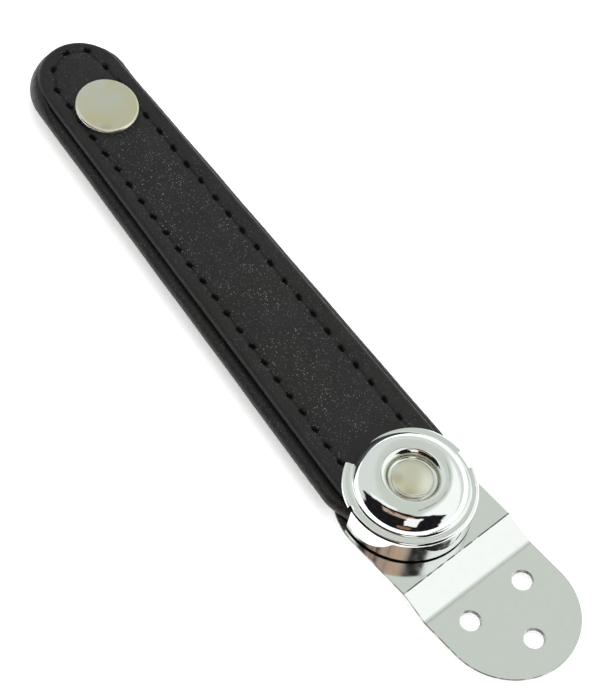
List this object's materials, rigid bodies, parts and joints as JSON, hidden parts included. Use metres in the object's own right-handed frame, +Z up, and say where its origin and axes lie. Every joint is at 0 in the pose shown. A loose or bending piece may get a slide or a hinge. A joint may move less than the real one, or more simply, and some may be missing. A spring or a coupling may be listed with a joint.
{
  "type": "padded leather closing strap",
  "caption": "Padded two-layer leather strap that swivels on a stepped chrome screw plate under a domed cup and closes with a press-stud socket at its free end.",
  "frame": {"origin": "on the underside of the screw plate's tongue, midway between its two side-by-side screw holes; this plane is what the plate is screwed down on", "axes": "+X from the screw tongue towards the pivot and on to the strap's free end, +Z up out of the screw plate, +Y completes a right-handed frame"},
  "size_m": [0.1903, 0.0439, 0.016],
  "materials": {
    "plate_chrome": "polished chrome plate",
    "cup_chrome": "mirror chrome plate",
    "washer_steel": "plain zinc-plated steel",
    "rivet_steel": "turned steel, nickel plated",
    "button_nickel": "satin nickel plate",
    "eyelet_brass": "plain brass",
    "fibre": "matte vulcanised fibre",
    "stud_nickel": "satin nickel plate",
    "stud_brass": "plain brass",
    "spring_steel": "hard drawn spring wire",
    "upper_leather": "fine-grained black leather, semi-matte",
    "lower_leather": "smooth black leather, semi-matte",
    "foam": "dark closed-cell foam",
    "felt": "grey felt",
    "fibreboard": "black fibre board",
    "thread": "waxed black thread"
  },
  "bodies": {
    "plate": {"mounting_plate": "plate_chrome", "back_washer": "washer_steel", "rivet_post": "rivet_steel", "rivet_cap": "button_nickel", "rivet_cap_core": "rivet_steel"},
    "swivel": {"dome_cup": "cup_chrome", "cup_washer": "washer_steel", "pivot_grommet": "eyelet_brass", "pivot_washer": "fibre", "upper_leather_root": "upper_leather", "upper_padding_root": "foam", "core_stiffener_root": "fibreboard", "lower_padding_root": "felt", "lower_leather_root": "lower_leather", "stitching_root": "thread"},
    "strap": {"upper_leather_free": "upper_leather", "upper_padding_free": "foam", "core_stiffener_free": "fibreboard", "lower_padding_free": "felt", "lower_leather_free": "lower_leather", "stitching_left": "thread", "stitching_right": "thread", "stitching_tip": "thread", "stitching_side_seam": "thread", "snap_cap": "stud_nickel", "snap_barrel": "stud_brass", "snap_socket": "stud_nickel", "snap_spring": "spring_steel"}
  },
  "joints": [
    {"name": "pivot_swivel", "type": "hinge", "parent": "plate", "child": "swivel", "pos_m": [0.0304, 0, 0.0041], "axis": [0, 0, 1], "continuous": true},
    {"name": "strap_flex", "type": "hinge", "parent": "swivel", "child": "strap", "pos_m": [0.05523, -0.00292, 0.0076], "axis": [-0.1167, -0.9932, 0], "range_deg": [-5, 75]}
  ]
}
